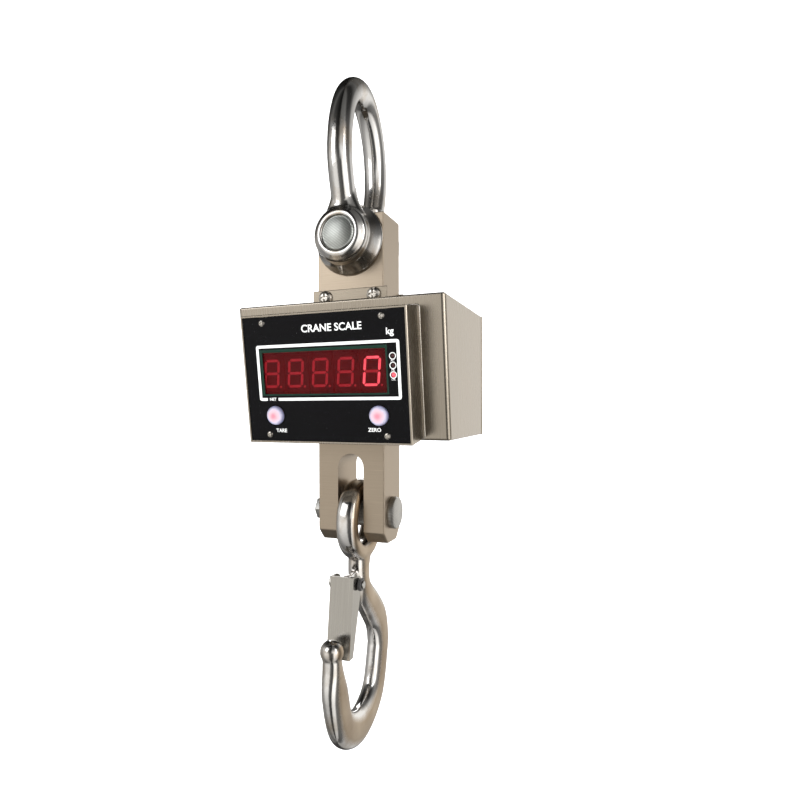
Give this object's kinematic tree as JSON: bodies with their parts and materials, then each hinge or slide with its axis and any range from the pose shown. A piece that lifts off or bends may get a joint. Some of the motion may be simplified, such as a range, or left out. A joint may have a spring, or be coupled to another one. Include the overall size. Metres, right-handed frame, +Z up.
{
  "type": "crane scale",
  "caption": "Hanging crane scale: shackle, load cell bar through a stainless display box with push buttons, and a swinging hook with a sprung safety latch.",
  "frame": {"origin": "inside of the shackle crown, where the scale hangs", "axes": "+Z up, +X to the right as seen from the display side, +Y to the rear, away from the display"},
  "size_m": [0.2462, 0.2341, 0.7808],
  "materials": {
    "polished_steel": "polished",
    "satin_steel": "satin",
    "dark_steel": "dark oxide",
    "brushed_stainless": "brushed",
    "zinc_plated": "zinc plated",
    "black_panel": "gloss",
    "red_filter": "gloss",
    "circuit_board": "solder mask",
    "button_pink": "frosted",
    "dark_plastic": "matte",
    "black_rubber": "matte",
    "battery_case": "matte",
    "digit_plastic": "matte",
    "indicator_lens": "gloss"
  },
  "bodies": {
    "shackle": {"shackle_bow": "polished_steel", "shackle_pin": "satin_steel", "pin_set_screw_front": "dark_steel", "pin_set_screw_rear": "dark_steel"},
    "scale_body": {"angle_bracket_front": "brushed_stainless", "angle_bracket_rear": "brushed_stainless", "battery": "battery_case", "battery_strap": "zinc_plated", "bracket_screw_front_left": "zinc_plated", "bracket_screw_front_right": "zinc_plated", "bracket_screw_rear_left": "zinc_plated", "bracket_screw_rear_right": "zinc_plated", "cell_cable": "black_rubber", "cell_cable_gland": "dark_plastic", "charge_cap": "black_rubber", "charge_socket": "dark_plastic", "cover_gasket": "black_rubber", "cover_screw_left_lower": "zinc_plated", "cover_screw_left_upper": "zinc_plated", "cover_screw_right_lower": "zinc_plated", "cover_screw_right_upper": "zinc_plated", "digit_module_1": "digit_plastic", "digit_module_2": "digit_plastic", "digit_module_3": "digit_plastic", "digit_module_4": "digit_plastic", "digit_module_5": "digit_plastic", "display_board": "circuit_board", "front_frame": "brushed_stainless", "gauge_cover_left": "zinc_plated", "gauge_cover_right": "zinc_plated", "hook_pin": "satin_steel", "hook_pin_nut": "zinc_plated", "hook_pin_washer": "zinc_plated", "housing_shell": "brushed_stainless", "indicator_led_1": "indicator_lens", "indicator_led_2": "indicator_lens", "indicator_led_3": "indicator_lens", "load_cell_bar": "satin_steel", "main_board": "circuit_board", "panel_plate": "black_panel", "panel_screw_left_lower": "zinc_plated", "panel_screw_left_upper": "zinc_plated", "panel_screw_right_lower": "zinc_plated", "panel_screw_right_upper": "zinc_plated", "radio_module": "dark_plastic", "rear_cover": "brushed_stainless", "tare_switch": "dark_plastic", "window_filter": "red_filter", "zero_switch": "dark_plastic"},
    "tare_button": {"tare_button": "button_pink"},
    "zero_button": {"zero_button": "button_pink"},
    "hook": {"hook": "polished_steel", "latch_bolt": "zinc_plated", "latch_nut": "zinc_plated", "latch_spring": "dark_steel"},
    "latch": {"safety_latch": "zinc_plated"}
  },
  "joints": [
    {"name": "scale_swing", "type": "hinge", "parent": "shackle", "child": "scale_body", "pos_m": [0, 0, -0.1666], "axis": [0, 1, 0], "range_deg": [-90, 90]},
    {"name": "hook_swing", "type": "hinge", "parent": "scale_body", "child": "hook", "pos_m": [0, 0, -0.4808], "axis": [1, 0, 0], "range_deg": [-60, 60]},
    {"name": "latch_open", "type": "hinge", "parent": "hook", "child": "latch", "pos_m": [0, -0.038, -0.5574], "axis": [1, 0, 0], "range_deg": [0, 50], "stiffness_Nm_per_rad": 0.15, "springref_deg": -11.46},
    {"name": "tare_press", "type": "slide", "parent": "scale_body", "child": "tare_button", "axis": [0, 0.9897, 0.1433], "range_m": [0, 0.002], "stiffness_N_per_m": 600},
    {"name": "zero_press", "type": "slide", "parent": "scale_body", "child": "zero_button", "axis": [0, 0.9897, 0.1433], "range_m": [0, 0.002], "stiffness_N_per_m": 600}
  ]
}
